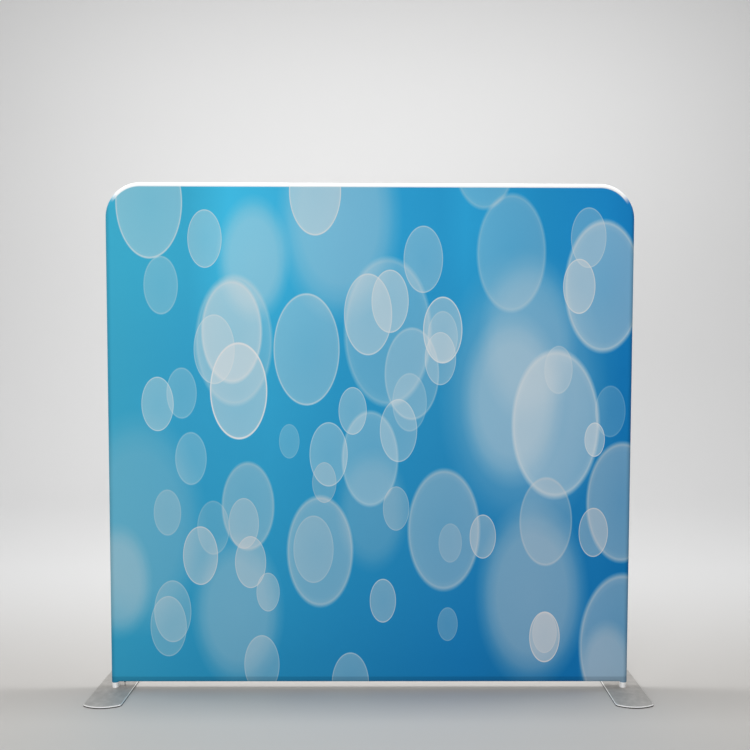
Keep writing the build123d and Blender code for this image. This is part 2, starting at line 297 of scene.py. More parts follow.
def mill_aluminium(name, stretch):
    """Bare extruded aluminium: duller than the anodised tube, rubbed bright in streaks by use."""
    made, tree, shader = new_finish(name, Metallic=1.0, Roughness=0.42)
    place = add(tree, "ShaderNodeTexCoord")
    along = add(tree, "ShaderNodeMapping", {"Vector": place.outputs["Object"], "Scale": stretch})
    rubs = add(
        tree,
        "ShaderNodeTexNoise",
        {"Vector": along.outputs["Vector"], "Scale": 1 / 0.003, "Detail": 5.0},
    )
    tree.links.new(
        add(
            tree,
            "ShaderNodeValToRGB",
            {"Fac": rubs.outputs["Fac"]},
            stops=[(0.3, "#9b9d9f"), (0.6, "#b3b5b6"), (0.75, "#cbcccd")],
        ).outputs["Color"],
        shader.inputs["Base Color"],
    )
    tree.links.new(
        add(
            tree, "ShaderNodeMapRange", {"Value": rubs.outputs["Fac"], "To Min": 0.5, "To Max": 0.3}
        ).outputs["Result"],
        shader.inputs["Roughness"],
    )
    return made


coat(upright_sleeves, mill_aluminium("mill_aluminium_upright", (1, 1, 0.03)))
coat(rail_sleeves, mill_aluminium("mill_aluminium_rail", (0.03, 1, 1)))
coat(["sleeve_rivets"], mill_aluminium("mill_aluminium_rivet", (1, 1, 1)))

# Nickel plate on a turned button: warm silver, smooth, with faint scuffs from the tubes.
button_nickel, tree, shader = new_finish("nickel_plated_steel", Metallic=1.0, Roughness=0.18)
place = add(tree, "ShaderNodeTexCoord")
scuffs = add(
    tree,
    "ShaderNodeTexNoise",
    {"Vector": place.outputs["Object"], "Scale": 1 / 0.001, "Detail": 4.0},
)
tree.links.new(
    add(
        tree,
        "ShaderNodeValToRGB",
        {"Fac": scuffs.outputs["Fac"]},
        stops=[(0.35, "#c9c4bb"), (0.65, "#dedad2")],
    ).outputs["Color"],
    shader.inputs["Base Color"],
)
tree.links.new(
    add(
        tree, "ShaderNodeMapRange", {"Value": scuffs.outputs["Fac"], "To Min": 0.1, "To Max": 0.32}
    ).outputs["Result"],
    shader.inputs["Roughness"],
)
snap_joints = [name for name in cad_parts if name.startswith("snap_button_")]
coat(snap_joints, button_nickel)

# Blued spring steel: dark blue-grey from the tempering oil, clouded, with a satin roll finish.
spring_blue, tree, shader = new_finish("blued_spring_steel", Metallic=1.0, Roughness=0.4)
place = add(tree, "ShaderNodeTexCoord")
cloud = add(
    tree,
    "ShaderNodeTexNoise",
    {"Vector": place.outputs["Object"], "Scale": 1 / 0.007, "Detail": 3.0},
)
tree.links.new(
    add(
        tree,
        "ShaderNodeValToRGB",
        {"Fac": cloud.outputs["Fac"]},
        stops=[(0.35, "#3b414b"), (0.65, "#5c6068")],
    ).outputs["Color"],
    shader.inputs["Base Color"],
)
coat(["snap_springs"], spring_blue)

# ---- Stretch cover: the two panels ----
# The cover is a pillowcase of knitted polyester, cut about 3% small and pulled tight over the
# frame. The front panel is dye printed, the back one is left white, and a seam joins them along
# the middle of the tubes' outer side.
cover_low, cover_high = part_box("cover_front")
half_width = cover_high.x
cover_bottom = cover_low.z
cover_top = cover_high.z
wrap_radius = -cover_low.y
upright_x = half_width - wrap_radius
corner_radius = 0.16
cloth_thickness = 0.0007
seam_land = 0.0005
seam_dip = 0.00035
wrap_steps = 10
corner_steps = 20
pane = 0.1
panes_aside = 10
panes_up = 21
near = 1e-5
zip_slot_half = 0.005
zip_end_gap = 0.026
zip_end_x = upright_x - zip_end_gap
post_opening = 0.0165


def pick(kind, wanted):
    """In edit mode, selects only the vertices, edges or faces whose middle passes the test."""
    bpy.ops.mesh.select_mode(type=kind)
    bpy.ops.mesh.select_all(action="DESELECT")
    shape = bmesh.from_edit_mesh(bpy.context.edit_object.data)
    for item in {"VERT": shape.verts, "EDGE": shape.edges, "FACE": shape.faces}[kind]:
        ends = [item] if kind == "VERT" else item.verts
        if wanted(sum((v.co for v in ends), Vector()) / len(ends)):
            item.select_set(True)
    shape.select_flush_mode()
    bmesh.update_edit_mesh(bpy.context.edit_object.data)


def cut(point, normal):
    """In edit mode, cuts the whole mesh along a plane."""
    bpy.ops.mesh.select_all(action="SELECT")
    bpy.ops.mesh.bisect(plane_co=point, plane_no=normal)


def stretch_panel(name, facing):
    """One side of the cover, turned round the frame's tubes. Facing is -1 for -Y and 1 for +Y."""
    skirt = 0.05
    low = cover_bottom - skirt
    bpy.ops.object.select_all(action="DESELECT")
    bpy.ops.mesh.primitive_plane_add(
        size=1, location=(0, 0, (low + cover_top) / 2), rotation=(-facing * pi / 2, 0, 0)
    )
    panel = bpy.context.object
    panel.name = panel.data.name = name
    panel.scale = (2 * half_width, cover_top - low, 1)
    bpy.ops.object.transform_apply()
    bpy.ops.object.mode_set(mode="EDIT")
    pick("VERT", lambda p: p.z > cover_top - 0.001)
    bpy.ops.mesh.bevel(offset=corner_radius, segments=corner_steps, affect="VERTICES")
    # The edge turns from the seam round the tube to the flat face in small steps.
    turn = wrap_radius - seam_land
    bpy.ops.mesh.select_mode(type="FACE")
    bpy.ops.mesh.select_all(action="SELECT")
    bpy.ops.mesh.inset(thickness=0, depth=seam_land)
    for step in range(wrap_steps):
        before, after = (radians(90) * (step + k) / wrap_steps for k in (0, 1))
        bpy.ops.mesh.inset(
            thickness=turn * (cos(before) - cos(after)), depth=turn * (sin(after) - sin(before))
        )
    # The skirt below the wall is cut off, and the flat face is divided into small panes.
    bpy.ops.mesh.select_all(action="SELECT")
    bpy.ops.mesh.bisect(plane_co=(0, 0, cover_bottom), plane_no=(0, 0, 1), clear_inner=True)
    for step in range(-panes_aside, panes_aside + 1):
        cut((pane * step, 0, 0), (1, 0, 0))
    for step in range(1, panes_up + 1):
        cut((0, 0, cover_bottom + pane * step), (0, 0, 1))
    # Along the bottom the cloth turns under the rail. Near each post it is drawn to the post's
    # round wrap instead, so the two turns meet in a soft fold.
    for step in range(wrap_steps):
        fall = wrap_radius * sin(radians(90) * step / wrap_steps)
        cut((0, 0, cover_bottom + wrap_radius - fall), (0, 0, 1))
        for way in (-1, 1):
            cut((way * (upright_x - fall), 0, 0), (1, 0, 0))
    for way in (-1, 1):
        cut((way * (upright_x - wrap_radius), 0, 0), (1, 0, 0))
        cut((way * zip_end_x, 0, 0), (1, 0, 0))
    shape = bmesh.from_edit_mesh(panel.data)
    for v in shape.verts:
        under = cover_bottom + wrap_radius - v.co.z
        inside = upright_x - abs(v.co.x)
        if under > 0 and inside > 0:
            v.co.y = facing * sqrt(max(0, wrap_radius**2 - min(under, inside) ** 2))
    bmesh.update_edit_mesh(panel.data)
    # The zip's slot, open along the rim.
    cut((0, facing * zip_slot_half, 0), (0, 1, 0))
    pick(
        "FACE",
        lambda p: abs(p.y) < zip_slot_half and p.z < cover_bottom + 0.005 and abs(p.x) < zip_end_x,
    )
    bpy.ops.mesh.delete(type="FACE")
    # The seam lies a little lower than the cloth beside it.
    pick("VERT", lambda p: abs(p.y) < near and (abs(p.x) > upright_x or p.z > cover_top - 0.2))
    bpy.ops.transform.resize(
        value=(1 - seam_dip / half_width, 1, 1 - seam_dip / (cover_top - cover_bottom)),
        center_override=(0, 0, cover_bottom),
    )
    # Under each upright a narrow hem turns in towards the post.
    for way in (-1, 1):
        pick(
            "EDGE",
            lambda p: abs(p.z - cover_bottom) < near and way * p.x > upright_x - wrap_radius,
        )
        bpy.ops.mesh.extrude_edges_move()
        bpy.ops.transform.resize(
            value=(post_opening / wrap_radius,) * 2 + (1,),
            center_override=(way * upright_x, 0, cover_bottom),
        )
    bpy.ops.mesh.select_all(action="SELECT")
    bpy.ops.mesh.remove_doubles(threshold=near)
    bpy.ops.object.mode_set(mode="OBJECT")
    cloth = panel.modifiers.new("thickness", "SOLIDIFY")
    cloth.thickness = cloth_thickness
    cloth.offset = -1
    cloth.use_even_offset = True
    bpy.ops.object.modifier_apply(modifier=cloth.name)
    bpy.ops.object.shade_smooth_by_angle(angle=radians(35))
    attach(panel, "wall")
    return panel


printed_panel = stretch_panel("printed_panel", -1)
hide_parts("cover_front")
white_panel = stretch_panel("white_panel", 1)
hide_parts("cover_back")

# ---- Stretch cover: print and white cloth ----


def knit(tree, place):
    """The bump of warp knitted polyester: loops 0.5 mm apart, drawn at 1.5 mm so that they show."""
    wales = add(
        tree,
        "ShaderNodeTexWave",
        {"Vector": place, "Scale": wave / 0.0015, "Distortion": 0.5},
        bands_direction="X",
    )
    courses = add(
        tree,
        "ShaderNodeTexWave",
        {"Vector": place, "Scale": wave / 0.0015, "Distortion": 0.5},
        bands_direction="Z",
    )
    loops = add(
        tree,
        "ShaderNodeMath",
        {0: wales.outputs["Fac"], 1: courses.outputs["Fac"]},
        operation="MULTIPLY",
    )
    return add(
        tree,
        "ShaderNodeBump",
        {"Height": loops.outputs["Value"], "Strength": 0.12, "Distance": 1e-4},
    ).outputs["Normal"]


def shade_by_tubes(tree, place, colour):
    """Paints shade into the cloth's colour where it turns away over a tube: along the bottom and
    down both sides.
    """
    apart = add(tree, "ShaderNodeSeparateXYZ", {"Vector": place})
    out = add(tree, "ShaderNodeMath", {0: apart.outputs["X"]}, operation="ABSOLUTE")
    bottom = add(
        tree,
        "ShaderNodeMapRange",
        {
            "Value": apart.outputs["Z"],
            "From Min": cover_bottom + 0.024,
            "From Max": cover_bottom + 0.033,
            "To Min": 0.74,
            "To Max": 1.0,
        },
        interpolation_type="SMOOTHSTEP",
    )
    side = add(
        tree,
        "ShaderNodeMapRange",
        {
            "Value": out.outputs["Value"],
            "From Min": half_width - 0.026,
            "From Max": half_width - 0.008,
            "To Min": 1.0,
            "To Max": 0.8,
        },
        interpolation_type="SMOOTHSTEP",
    )
    both = add(
        tree,
        "ShaderNodeMath",
        {0: bottom.outputs["Result"], 1: side.outputs["Result"]},
        operation="MULTIPLY",
    )
    return add(
        tree,
        "ShaderNodeVectorMath",
        {0: colour, "Scale": both.outputs["Value"]},
        operation="SCALE",
    ).outputs["Vector"]


# Printed stretch polyester: a smooth dyed cloth with a little sheen. The print is a blue wash,
# greener on the left and deeper to the right and below, with pale out-of-focus discs over it.
print_cloth, tree, shader = new_finish("printed_stretch_polyester", Roughness=0.85)
shader.inputs["Specular IOR Level"].default_value = 0.05
shader.inputs["Sheen Weight"].default_value = 0.02
place = add(tree, "ShaderNodeTexCoord").outputs["Object"]
apart = add(tree, "ShaderNodeSeparateXYZ", {"Vector": place})
across = add(
    tree,
    "ShaderNodeMapRange",
    {"Value": apart.outputs["X"], "From Min": -half_width, "From Max": half_width},
).outputs["Result"]
high_wash = add(
    tree,
    "ShaderNodeValToRGB",
    {"Fac": across},
    stops=[
        (0.02, "#3daacb"),
        (0.155, "#3aa8cd"),
        (0.233, "#40bae3"),
        (0.31, "#3eb4df"),
        (0.45, "#31a2d4"),
        (0.634, "#2a9acf"),
        (0.68, "#2da1d6"),
        (0.825, "#228fc8"),
        (0.94, "#1c8aca"),
        (0.99, "#1881c3"),
    ],
).outputs["Color"]
middle_wash = add(
    tree,
    "ShaderNodeValToRGB",
    {"Fac": across},
    stops=[
        (0.02, "#399ec0"),
        (0.155, "#339ac3"),
        (0.31, "#329dc8"),
        (0.44, "#2a93c2"),
        (0.634, "#288bbd"),
        (0.8, "#2283bb"),
        (0.94, "#1e7db6"),
        (0.98, "#1375b4"),
    ],
).outputs["Color"]
low_wash = add(
    tree,
    "ShaderNodeValToRGB",
    {"Fac": across},
    stops=[
        (0.02, "#2f8fb3"),
        (0.155, "#2888b0"),
        (0.366, "#207fad"),
        (0.557, "#1976aa"),
        (0.682, "#1471aa"),
        (0.75, "#146ea6"),
        (0.94, "#0d6aa7"),
        (0.98, "#0c69a4"),
    ],
).outputs["Color"]
wash_top, wash_middle, wash_foot = 2.2, 1.35, 0.15
to_middle = add(
    tree,
    "ShaderNodeMapRange",
    {"Value": apart.outputs["Z"], "From Min": wash_top, "From Max": wash_middle},
    interpolation_type="SMOOTHSTEP",
)
to_low = add(
    tree,
    "ShaderNodeMapRange",
    {"Value": apart.outputs["Z"], "From Min": wash_middle, "From Max": wash_foot},
)
wash = add(
    tree,
    "ShaderNodeMix",
    {"Factor": to_middle.outputs["Result"], "A": high_wash, "B": middle_wash},
    data_type="RGBA",
)
wash = add(
    tree,
    "ShaderNodeMix",
    {"Factor": to_low.outputs["Result"], "A": wash.outputs["Result"], "B": low_wash},
    data_type="RGBA",
)


# Tints are laid in evenly seen steps, as a display's curve gives them.
seen_curve = 2.2


def disc_stamp(name, profile):
    """A node group that lays one pale disc on the print. The profile is how strongly it covers the
    print from its middle, 0, out to past its edge, 1, where grey 255 is full strength."""
    made = bpy.data.node_groups.new(name, "ShaderNodeTree")
    for title, kind in (
        ("Print", "NodeSocketColor"),
        ("Place", "NodeSocketVector"),
        ("Middle", "NodeSocketVector"),
        ("Size", "NodeSocketVector"),
        ("Tint", "NodeSocketColor"),
        ("Strength", "NodeSocketFloat"),
    ):
        made.interface.new_socket(title, in_out="INPUT", socket_type=kind)
    made.interface.new_socket("Print", in_out="OUTPUT", socket_type="NodeSocketColor")
    given = add(made, "NodeGroupInput").outputs
    offset = add(
        made, "ShaderNodeVectorMath", {0: given["Place"], 1: given["Middle"]}, operation="SUBTRACT"
    )
    scaled = add(
        made,
        "ShaderNodeVectorMath",
        {0: offset.outputs["Vector"], 1: given["Size"]},
        operation="MULTIPLY",
    )
    reach = add(
        made, "ShaderNodeVectorMath", {0: scaled.outputs["Vector"]}, operation="LENGTH"
    ).outputs["Value"]
    half_reach = add(made, "ShaderNodeMath", {0: reach, 1: 0.5}, operation="MULTIPLY")
    shape = add(made, "ShaderNodeFloatCurve", {"Value": half_reach.outputs["Value"]})
    curve = shape.mapping.curves[0]
    for spot, (at, strength) in zip(list(curve.points)[:2], (profile[0], profile[-1])):
        spot.location = (at / 2, strength)
    for at, strength in profile[1:-1]:
        curve.points.new(at / 2, strength)
    for spot in curve.points:
        spot.handle_type = "VECTOR"
    shape.mapping.update()
    amount = add(
        made,
        "ShaderNodeMath",
        {0: shape.outputs["Value"], 1: given["Strength"]},
        operation="MULTIPLY",
    )
    ink = add(made, "ShaderNodeGamma", {"Color": given["Tint"], "Gamma": 1 / seen_curve})
    laid = add(
        made,
        "ShaderNodeMix",
        {"Factor": amount.outputs["Value"], "A": given["Print"], "B": ink.outputs["Color"]},
        data_type="RGBA",
    )
    add(made, "NodeGroupOutput", {"Print": laid.outputs["Result"]})
    return made


# A sharp disc has a fine pale line round it, a large one a broader soft line, and a patch none.
sharp = disc_stamp(
    "sharp_disc", [(0, 0.36), (0.9, 0.4), (0.96, 0.44), (0.978, 0.8), (0.992, 0.7), (1.012, 0)]
)
bright = disc_stamp(
    "bright_disc", [(0, 0.42), (0.9, 0.46), (0.955, 0.5), (0.973, 0.95), (0.992, 0.9), (1.015, 0)]
)
faint = disc_stamp(
    "faint_disc", [(0, 0.2), (0.9, 0.22), (0.95, 0.24), (0.975, 0.4), (0.99, 0.34), (1.03, 0)]
)
large = disc_stamp(
    "large_disc", [(0, 0.32), (0.85, 0.36), (0.935, 0.41), (0.965, 0.55), (0.985, 0.42), (1.045, 0)]
)
patch = disc_stamp("soft_patch", [(0, 0.4), (0.7, 0.38), (0.88, 0.27), (1, 0.13), (1.16, 0)])

# Each disc: its stamp, the middle's x and z, its half width, and how strong it is, in metres.
# Discs above the join have a cooler tint than those below it.
disc_height = 1.7
tint_join = 1.05
high_tint = "#d6d9db"
low_tint = "#cdcacb"
discs = [
    (patch, -0.14, 2.18, 0.25, 1.0),
    (patch, -0.53, 1.99, 0.15, 1.1),
    (patch, -1.06, 0.78, 0.27, 0.6),
    (patch, -1.16, 0.51, 0.14, 0.9),
    (patch, -0.61, 0.37, 0.19, 0.9),
    (patch, 0.01, 0.84, 0.15, 0.6),
    (patch, 0.70, 1.38, 0.34, 0.6),
    (patch, 0.65, 1.35, 0.21, 1.05),
    (patch, 0.72, 1.63, 0.20, 0.65),
    (patch, 0.75, 0.45, 0.23, 1.2),
    (patch, 1.10, 0.11, 0.115, 1.0),
    (sharp, -1.00, 2.245, 0.15, 1.0),
    (sharp, -0.75, 2.08, 0.077, 1.0),
    (faint, -0.95, 1.87, 0.077, 1.3),
    (sharp, -0.25, 2.295, 0.117, 1.2),
    (large, -0.62, 1.62, 0.172, 0.75),
    (large, -0.63, 1.66, 0.136, 1.3),
    (sharp, -0.71, 1.58, 0.093, 0.8),
    (bright, -0.60, 1.39, 0.130, 1.1),
    (sharp, -0.29, 1.58, 0.150, 0.9),
    (sharp, -0.97, 1.33, 0.073, 1.0),
    (faint, -0.86, 1.38, 0.068, 1.2),
    (faint, -0.82, 1.08, 0.071, 1.2),
    (faint, -0.37, 1.16, 0.046, 1.1),
    (sharp, -0.19, 1.10, 0.087, 0.9),
    (sharp, -0.21, 0.97, 0.055, 0.8),
    (large, 0.08, 1.66, 0.196, 0.8),
    (large, 0.00, 1.08, 0.128, 0.9),
    (sharp, -0.08, 1.30, 0.064, 1.0),
    (sharp, -0.01, 1.74, 0.109, 1.0),
    (sharp, 0.09, 1.80, 0.084, 1.1),
    (faint, 0.19, 1.47, 0.123, 1.2),
    (sharp, 0.24, 1.99, 0.089, 0.9),
    (bright, 0.33, 1.67, 0.089, 1.0),
    (faint, 0.33, 1.64, 0.068, 1.2),
    (sharp, 0.32, 1.54, 0.071, 0.9),
    (faint, 0.18, 1.34, 0.078, 1.0),
    (sharp, 0.13, 1.21, 0.085, 0.9),
    (large, -0.56, 0.86, 0.119, 1.0),
    (sharp, -0.58, 0.78, 0.069, 0.8),
    (faint, -0.72, 0.76, 0.073, 1.0),
    (sharp, -0.78, 0.63, 0.080, 1.1),
    (sharp, -0.55, 0.60, 0.071, 1.0),
    (sharp, -0.47, 0.46, 0.053, 0.9),
    (faint, -0.93, 0.83, 0.062, 1.2),
    (large, -0.23, 0.65, 0.150, 1.1),
    (sharp, -0.26, 0.66, 0.092, 0.6),
    (sharp, 0.12, 0.85, 0.060, 0.8),
    (large, 0.34, 0.75, 0.164, 1.1),
    (faint, 0.37, 0.69, 0.053, 1.0),
    (bright, 0.52, 0.72, 0.060, 0.95),
    (bright, 0.06, 0.42, 0.060, 0.9),
    (faint, 0.36, 0.31, 0.046, 1.3),
    (sharp, -0.50, 0.12, 0.081, 0.8),
    (sharp, -0.09, 0.03, 0.086, 0.9),
    (sharp, -0.91, 0.37, 0.085, 0.7),
    (sharp, -0.93, 0.30, 0.083, 0.7),
    (large, 0.515, 2.46, 0.142, 0.8),
    (large, 0.64, 2.02, 0.155, 0.8),
    (large, 1.06, 1.87, 0.174, 1.3),
    (sharp, 0.99, 2.09, 0.080, 0.8),
    (bright, 0.95, 1.87, 0.073, 1.0),
    (large, 0.85, 1.24, 0.198, 1.25),
    (faint, 0.86, 1.49, 0.064, 1.2),
    (faint, 1.10, 1.30, 0.069, 0.9),
    (bright, 1.03, 1.17, 0.046, 1.1),
    (large, 1.16, 0.88, 0.162, 1.2),
    (bright, 1.03, 0.74, 0.067, 0.95),
    (faint, 0.81, 0.79, 0.120, 1.3),
    (bright, 0.81, 0.25, 0.070, 1.1),
    (sharp, 0.81, 0.27, 0.056, 0.9),
    (large, 1.17, 0.21, 0.196, 1.2),
]
# The discs are laid as a printer lays tints, in evenly seen steps, and not as light adds up.
colour = add(
    tree, "ShaderNodeGamma", {"Color": wash.outputs["Result"], "Gamma": 1 / seen_curve}
).outputs["Color"]
for stamp, x, z, half, strength in discs:
    tint = high_tint if z > tint_join else low_tint
    laid = add(
        tree,
        "ShaderNodeGroup",
        {
            "Print": colour,
            "Place": place,
            "Middle": (x, 0, z),
            "Size": (1 / half, 0, 1 / (disc_height * half)),
            "Tint": linear(tint),
            "Strength": strength,
        },
        node_tree=stamp,
    )
    colour = laid.outputs["Print"]
colour = add(tree, "ShaderNodeGamma", {"Color": colour, "Gamma": seen_curve}).outputs["Color"]
# Painted shade along the bottom and down both sides, over the tubes.
colour = shade_by_tubes(tree, place, colour)

# Along the top, and round the corners as far as they face up, the cloth turning over the tube is
# painted near white: a painted highlight standing in for the light from above on the upward faces.
mirrored = add(tree, "ShaderNodeVectorMath", {0: place}, operation="ABSOLUTE")
bend_middle = (half_width - corner_radius, 1, cover_top - corner_radius)
from_bend = add(
    tree,
    "ShaderNodeVectorMath",
    {0: mirrored.outputs["Vector"], 1: bend_middle},
    operation="SUBTRACT",
)
outward = add(
    tree,
    "ShaderNodeVectorMath",
    {0: from_bend.outputs["Vector"], 1: (0, 0, 0)},
    operation="MAXIMUM",
)
reach = add(tree, "ShaderNodeVectorMath", {0: outward.outputs["Vector"]}, operation="LENGTH")
lift = add(tree, "ShaderNodeSeparateXYZ", {"Vector": outward.outputs["Vector"]})
upward = add(
    tree,
    "ShaderNodeMath",
    {0: lift.outputs["Z"], 1: reach.outputs["Value"]},
    operation="DIVIDE",
)
turn_start = corner_radius - wrap_radius
on_turn = add(
    tree,
    "ShaderNodeMapRange",
    {
        "Value": reach.outputs["Value"],
        "From Min": turn_start - 0.0055,
        "From Max": turn_start + 0.0005,
    },
    interpolation_type="SMOOTHSTEP",
)
facing_sky = add(
    tree,
    "ShaderNodeMapRange",
    {"Value": upward.outputs["Value"], "From Min": 0.45, "From Max": 0.75},
    interpolation_type="SMOOTHSTEP",
)
painted_top_highlight = add(
    tree,
    "ShaderNodeMath",
    {0: on_turn.outputs["Result"], 1: facing_sky.outputs["Result"]},
    operation="MULTIPLY",
)
print_with_painted_highlight = add(
    tree,
    "ShaderNodeMix",
    {"Factor": painted_top_highlight.outputs["Value"], "A": colour, "B": linear("#f7f8f8")},
    data_type="RGBA",
)
tree.links.new(print_with_painted_highlight.outputs["Result"], shader.inputs["Base Color"])
tree.links.new(knit(tree, place), shader.inputs["Normal"])
printed_panel.data.materials.append(print_cloth)

# White stretch polyester: the same cloth undyed, a clean cool white with faint mottling.
white_cloth, tree, shader = new_finish("white_stretch_polyester", Roughness=0.88)
shader.inputs["Specular IOR Level"].default_value = 0.15
place = add(tree, "ShaderNodeTexCoord").outputs["Object"]
mottle = add(tree, "ShaderNodeTexNoise", {"Vector": place, "Scale": 1 / 0.03, "Detail": 4.0})
colour = add(
    tree,
    "ShaderNodeValToRGB",
    {"Fac": mottle.outputs["Fac"]},
    stops=[(0.3, "#ebecec"), (0.7, "#eeefef")],
).outputs["Color"]
# Painted shade along the bottom and down both sides, as on the print.
colour = shade_by_tubes(tree, place, colour)
tree.links.new(colour, shader.inputs["Base Color"])
tree.links.new(knit(tree, place), shader.inputs["Normal"])
white_panel.data.materials.append(white_cloth)

# ---- Zip tapes ----
# Two woven polyester tapes, sewn inside the cover's slot, carry the zip. They follow the curve
# of the cover's bottom edge, and the coils are sewn along the edges that face each other.
curl_z = cover_bottom + wrap_radius
tape_thickness = 0.0005
tape_clearance = 0.00005
tape_weave, tree, shader = new_finish("woven_polyester_tape", Roughness=0.8)
shader.inputs["Specular IOR Level"].default_value = 0.2
place = add(tree, "ShaderNodeTexCoord").outputs["Object"]
# Herringbone twill, ribs 0.4 mm apart, drawn at 1 mm.
ribs = add(
    tree,
    "ShaderNodeTexWave",
    {"Vector": place, "Scale": wave / 0.001, "Distortion": 1.0, "Detail": 1.0},
    bands_direction="DIAGONAL",
)
tree.links.new(
    add(
        tree,
        "ShaderNodeValToRGB",
        {"Fac": ribs.outputs["Fac"]},
        stops=[(0.0, "#cfd1d2"), (1.0, "#eceded")],
    ).outputs["Color"],
    shader.inputs["Base Color"],
)
tree.links.new(
    add(
        tree, "ShaderNodeBump", {"Height": ribs.outputs["Fac"], "Strength": 0.4, "Distance": 2e-4}
    ).outputs["Normal"],
    shader.inputs["Normal"],
)
for name in ("front", "back"):
    node = f"zip_tape_{name}"
    low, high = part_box(node)
    outer_radius = curl_z - low.z
    bpy.ops.object.select_all(action="DESELECT")
    bpy.ops.mesh.primitive_grid_add(
        x_subdivisions=40, y_subdivisions=9, size=1, location=(0, (low.y + high.y) / 2, low.z)
    )
    tape = bpy.context.object
    tape.name = tape.data.name = f"woven_tape_{name}"
    tape.scale = (high.x - low.x, high.y - low.y, 1)
    bpy.ops.object.transform_apply()
    # The flat grid is curled to the cover's edge, and its thickness grows inwards from there.
    for v in tape.data.vertices:
        v.co.z = curl_z - sqrt((outer_radius - tape_clearance) ** 2 - v.co.y**2)
    bpy.ops.object.mode_set(mode="EDIT")
    bpy.ops.mesh.select_all(action="SELECT")
    bpy.ops.mesh.flip_normals()
    bpy.ops.object.mode_set(mode="OBJECT")
    body = tape.modifiers.new("thickness", "SOLIDIFY")
    body.thickness = tape_thickness
    body.offset = -1
    bpy.ops.object.modifier_apply(modifier=body.name)
    bpy.ops.object.shade_smooth_by_angle(angle=radians(35))
    tape.data.materials.append(tape_weave)
    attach(tape, "wall")
    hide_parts(node)

# ---- Zip coils ----
# The teeth of a coil zip are the turns of one nylon monofilament, sewn to the tape's edge. Each
# turn is flattened against the tape and has a swollen head where it meets the other half.
coil_pitch = 0.0015
turn_width = 0.0009
head_swell = 1.35
root_shrink = 0.8
turn_round = 0.0003


def repeat_along(piece, pitch, count):
    """Lays a turn or a stitch count times in a row along X, a pitch apart."""
    row = piece.modifiers.new("row", "ARRAY")
    row.use_relative_offset = False
    row.use_constant_offset = True
    row.constant_offset_displace = (pitch, 0, 0)
    row.count = count
    bpy.ops.object.modifier_apply(modifier=row.name)
    bpy.ops.object.shade_smooth_by_angle(angle=radians(60))


nylon_coil, tree, shader = new_finish("nylon_monofilament", Roughness=0.32, IOR=1.53)
place = add(tree, "ShaderNodeTexCoord").outputs["Object"]
milky = add(tree, "ShaderNodeTexNoise", {"Vector": place, "Scale": 1 / 0.0015, "Detail": 2.0})
tree.links.new(
    add(
        tree,
        "ShaderNodeValToRGB",
        {"Fac": milky.outputs["Fac"]},
        stops=[(0.35, "#d9d9d6"), (0.65, "#efefec")],
    ).outputs["Color"],
    shader.inputs["Base Color"],
)
for name, facing in (("front", -1), ("back", 1)):
    node = f"zip_chain_{name}"
    low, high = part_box(node)
    depth = high.y - low.y
    height = high.z - low.z
    head_y = high.y if facing < 0 else low.y
    first_x = low.x + coil_pitch / 2
    count = int((high.x - low.x) / coil_pitch)
    bpy.ops.object.select_all(action="DESELECT")
    bpy.ops.mesh.primitive_cube_add(
        size=1, location=(first_x, (low.y + high.y) / 2, (low.z + high.z) / 2)
    )
    coil = bpy.context.object
    coil.name = coil.data.name = f"zip_coil_{name}"
    coil.scale = (turn_width, depth, height)
    bpy.ops.object.transform_apply()
    bpy.ops.object.mode_set(mode="EDIT")
    # The head end swells, and the root end is drawn in towards the tape.
    pick("FACE", lambda p: abs(p.y - head_y) < near)
    bpy.ops.transform.resize(
        value=(head_swell, 1, 1), center_override=(first_x, head_y, (low.z + high.z) / 2)
    )
    pick("FACE", lambda p: abs(p.y - (low.y + high.y - head_y)) < near)
    bpy.ops.transform.resize(
        value=(root_shrink, 1, root_shrink), center_override=(first_x, 0, high.z)
    )
    bpy.ops.mesh.select_mode(type="EDGE")
    bpy.ops.mesh.select_all(action="SELECT")
    bpy.ops.mesh.bevel(offset=turn_round, segments=1, affect="EDGES")
    bpy.ops.object.mode_set(mode="OBJECT")
    repeat_along(coil, coil_pitch, count)
    coil.data.materials.append(nylon_coil)
    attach(coil, "wall")
    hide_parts(node)

# ---- Zip topstitching ----
# One row of lockstitch on each side holds the tape to the cover, 3 mm from the slot's edge.
stitch_pitch = 0.0036
stitch_inset = 0.003
stitch_size = (0.003, 0.0005, 0.0004)
stitch_round = 0.00016
thread, tree, shader = new_finish("polyester_thread", Roughness=0.55)
place = add(tree, "ShaderNodeTexCoord").outputs["Object"]
twist = add(
    tree,
    "ShaderNodeTexWave",
    {"Vector": place, "Scale": wave / 0.0005},
    bands_direction="DIAGONAL",
)
tree.links.new(
    add(
        tree,
        "ShaderNodeValToRGB",
        {"Fac": twist.outputs["Fac"]},
        stops=[(0.0, "#c9cbcc"), (1.0, "#f0f1f1")],
    ).outputs["Color"],
    shader.inputs["Base Color"],
)
for name, facing in (("front", -1), ("back", 1)):
    row_y = facing * (zip_slot_half + stitch_inset)
    row_z = curl_z - sqrt(wrap_radius**2 - row_y**2)
    lean = asin(row_y / wrap_radius)
    count = int(2 * zip_end_x / stitch_pitch)
    first_x = -stitch_pitch * (count - 1) / 2
    bpy.ops.object.select_all(action="DESELECT")
    bpy.ops.mesh.primitive_cube_add(size=1, location=(first_x, row_y, row_z), rotation=(lean, 0, 0))
    stitches = bpy.context.object
    stitches.name = stitches.data.name = f"topstitching_{name}"
    stitches.scale = stitch_size
    bpy.ops.object.transform_apply()
    bpy.ops.object.mode_set(mode="EDIT")
    bpy.ops.mesh.select_mode(type="EDGE")
    bpy.ops.mesh.select_all(action="SELECT")
    bpy.ops.mesh.bevel(offset=stitch_round, segments=1, affect="EDGES")
    bpy.ops.object.mode_set(mode="OBJECT")
    repeat_along(stitches, stitch_pitch, count)
    stitches.data.materials.append(thread)
    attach(stitches, "wall")

# ---- Zip slider, pull and stops ----
# The slider and its pull are die cast zinc and the stops pressed brass, all enamelled black.

